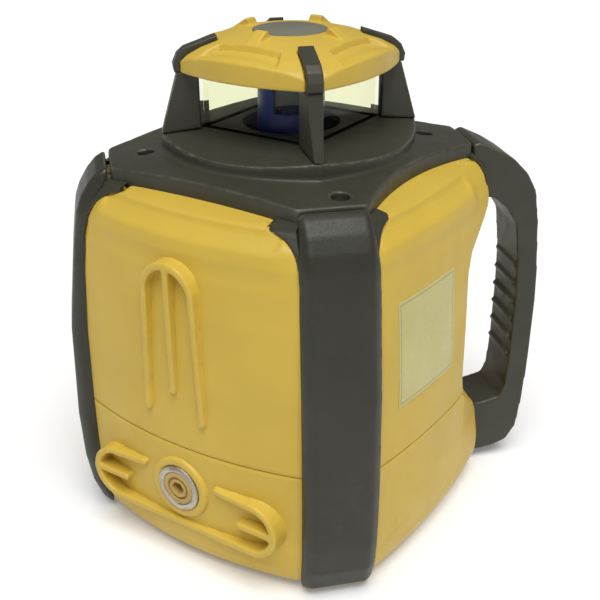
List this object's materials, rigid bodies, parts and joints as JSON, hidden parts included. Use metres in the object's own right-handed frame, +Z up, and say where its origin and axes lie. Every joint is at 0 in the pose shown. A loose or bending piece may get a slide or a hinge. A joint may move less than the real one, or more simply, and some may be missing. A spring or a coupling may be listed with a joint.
{
  "type": "rotating laser level",
  "caption": "Self-levelling rotating laser level with a glass lantern, corner bumpers, a side carrying handle and tripod threads.",
  "frame": {"origin": "centre of the tripod thread at its mouth, on the plane that the level stands on", "axes": "+Z up along the laser axis; -Y the lay-down face with the side thread; +X the label face; +Y the control face; -X the battery face; the handle stands at the corner between +X and +Y"},
  "size_m": [0.1871, 0.1892, 0.2319],
  "materials": {
    "yellow_shell": "moulded mustard yellow plastic with a fine satin grain",
    "dark_frame": "dark olive grey moulded plastic, fine grain",
    "bumper_dark": "dark olive grey over-moulded elastomer, scuffed at the top bend",
    "grey_trim": "dark grey moulded plastic",
    "black_rubber": "black rubber",
    "clear_glass": "clear polished glass",
    "prism_glass": "clear prism glass",
    "clear_window": "clear acrylic window",
    "cap_disc": "dark grey disc, fine grain",
    "steel": "turned steel",
    "alloy": "machined aluminium",
    "alloy_insert": "bright machined insert ring",
    "plug_tan": "yellowish plastic plug",
    "label": "plain pale yellow adhesive film",
    "display": "grey green liquid crystal display",
    "board": "green circuit board",
    "button_red": "red silicone key",
    "button_grey": "grey silicone key",
    "cell": "plain wrapped dry cell",
    "brass": "turned brass",
    "barrel_black": "black anodised aluminium",
    "sensor_green": "level vials",
    "gear_white": "natural acetal gear",
    "navy_head": "glossy dark blue moulded head"
  },
  "bodies": {
    "casing": {"lower_housing": "yellow_shell", "upper_housing": "yellow_shell", "seam_seal": "black_rubber", "top_plate": "dark_frame", "lantern_pillars": "dark_frame", "lantern_floor": "dark_frame", "glass_gasket": "black_rubber", "glass_panes": "clear_glass", "cap_frame": "dark_frame", "cap_cover": "yellow_shell", "cap_disc": "cap_disc", "cap_straps": "dark_frame", "bumper_front": "bumper_dark", "bumper_left": "bumper_dark", "bumper_back": "bumper_dark", "carry_handle": "dark_frame", "handle_screws": "steel", "housing_screws": "steel", "base_plate": "alloy", "base_screws": "steel", "side_insert": "alloy_insert", "label_plate": "label", "control_bezel": "grey_trim", "display_window": "clear_window", "display_module": "display", "control_board": "board", "key_mat": "black_rubber", "main_board": "board", "chassis": "alloy", "chassis_screws": "steel", "level_motors": "steel", "guide_rods": "steel", "gimbal_pins": "steel"},
    "power_key": {"power_button": "button_red"},
    "speed_key": {"speed_button": "button_grey"},
    "scan_key": {"scan_button": "button_grey"},
    "level_key": {"level_button": "button_grey"},
    "up_key": {"up_button": "button_grey"},
    "down_key": {"down_button": "button_grey"},
    "tray": {"battery_tray": "yellow_shell", "battery_cells": "cell", "battery_contacts": "steel"},
    "lock_knob": {"battery_knob": "grey_trim"},
    "thread_plug": {"side_plug": "plug_tan"},
    "ring": {"gimbal_ring": "alloy"},
    "barrel": {"laser_barrel": "barrel_black", "tilt_arm": "alloy", "tilt_sensors": "sensor_green", "laser_module": "brass", "collimator_lens": "clear_glass", "head_motor": "steel"},
    "head": {"spinning_head": "navy_head", "head_gear": "gear_white", "head_bearings": "steel", "pentaprism": "prism_glass"},
    "pinion": {"motor_pinion": "brass"},
    "nut_x": {"level_nut_x": "brass"},
    "nut_y": {"level_nut_y": "brass"},
    "screw_x": {"level_screw_x": "steel"},
    "screw_y": {"level_screw_y": "steel"}
  },
  "joints": [
    {"name": "power_press", "type": "slide", "parent": "casing", "child": "power_key", "axis": [0, -1, 0], "range_m": [0, 0.0008], "stiffness_N_per_m": 500, "springref_m": -0.0006},
    {"name": "speed_press", "type": "slide", "parent": "casing", "child": "speed_key", "axis": [0, -1, 0], "range_m": [0, 0.0008], "stiffness_N_per_m": 500, "springref_m": -0.0006},
    {"name": "scan_press", "type": "slide", "parent": "casing", "child": "scan_key", "axis": [0, -1, 0], "range_m": [0, 0.0008], "stiffness_N_per_m": 500, "springref_m": -0.0006},
    {"name": "level_press", "type": "slide", "parent": "casing", "child": "level_key", "axis": [0, -1, 0], "range_m": [0, 0.0008], "stiffness_N_per_m": 500, "springref_m": -0.0006},
    {"name": "up_press", "type": "slide", "parent": "casing", "child": "up_key", "axis": [0, -1, 0], "range_m": [0, 0.0008], "stiffness_N_per_m": 500, "springref_m": -0.0006},
    {"name": "down_press", "type": "slide", "parent": "casing", "child": "down_key", "axis": [0, -1, 0], "range_m": [0, 0.0008], "stiffness_N_per_m": 500, "springref_m": -0.0006},
    {"name": "tray_slide", "type": "slide", "parent": "casing", "child": "tray", "axis": [-1, 0, 0], "range_m": [0, 0.16]},
    {"name": "knob_turn", "type": "hinge", "parent": "tray", "child": "lock_knob", "pos_m": [-0.085, 0, 0.0361], "axis": [1, 0, 0], "range_deg": [0, 90]},
    {"name": "plug_out", "type": "slide", "parent": "casing", "child": "thread_plug", "axis": [0, -1, 0], "range_m": [0, 0.02]},
    {"name": "tilt_x", "type": "hinge", "parent": "casing", "child": "ring", "pos_m": [0, 0, 0.15], "axis": [1, 0, 0], "range_deg": [-5, 5]},
    {"name": "tilt_y", "type": "hinge", "parent": "ring", "child": "barrel", "pos_m": [0, 0, 0.15], "axis": [0, 1, 0], "range_deg": [-5, 5]},
    {"name": "head_spin", "type": "hinge", "parent": "barrel", "child": "head", "pos_m": [0, 0, 0.18], "axis": [0, 0, 1], "continuous": true},
    {"name": "pinion_spin", "type": "hinge", "parent": "barrel", "child": "pinion", "pos_m": [-0.01273, -0.01273, 0.174], "axis": [0, 0, 1], "continuous": true},
    {"name": "nut_x_slide", "type": "slide", "parent": "casing", "child": "nut_x", "axis": [0, 0, 1], "range_m": [-0.0035, 0.0035]},
    {"name": "nut_y_slide", "type": "slide", "parent": "casing", "child": "nut_y", "axis": [0, 0, 1], "range_m": [-0.0035, 0.0035]},
    {"name": "screw_x_turn", "type": "hinge", "parent": "casing", "child": "screw_x", "pos_m": [0.048, 0, 0.13], "axis": [0, 0, 1], "range_deg": [-253, 253]},
    {"name": "screw_y_turn", "type": "hinge", "parent": "casing", "child": "screw_y", "pos_m": [0, 0.048, 0.13], "axis": [0, 0, 1], "range_deg": [-253, 253]}
  ],
  "couplings": [
    {"joint": "pinion_spin", "follows": "head_spin", "ratio": -4},
    {"joint": "nut_y_slide", "follows": "tilt_x", "m_per_rad": 0.04},
    {"joint": "nut_x_slide", "follows": "tilt_y", "m_per_rad": -0.04},
    {"joint": "screw_y_turn", "follows": "tilt_x", "ratio": -50.266},
    {"joint": "screw_x_turn", "follows": "tilt_y", "ratio": 50.266}
  ]
}
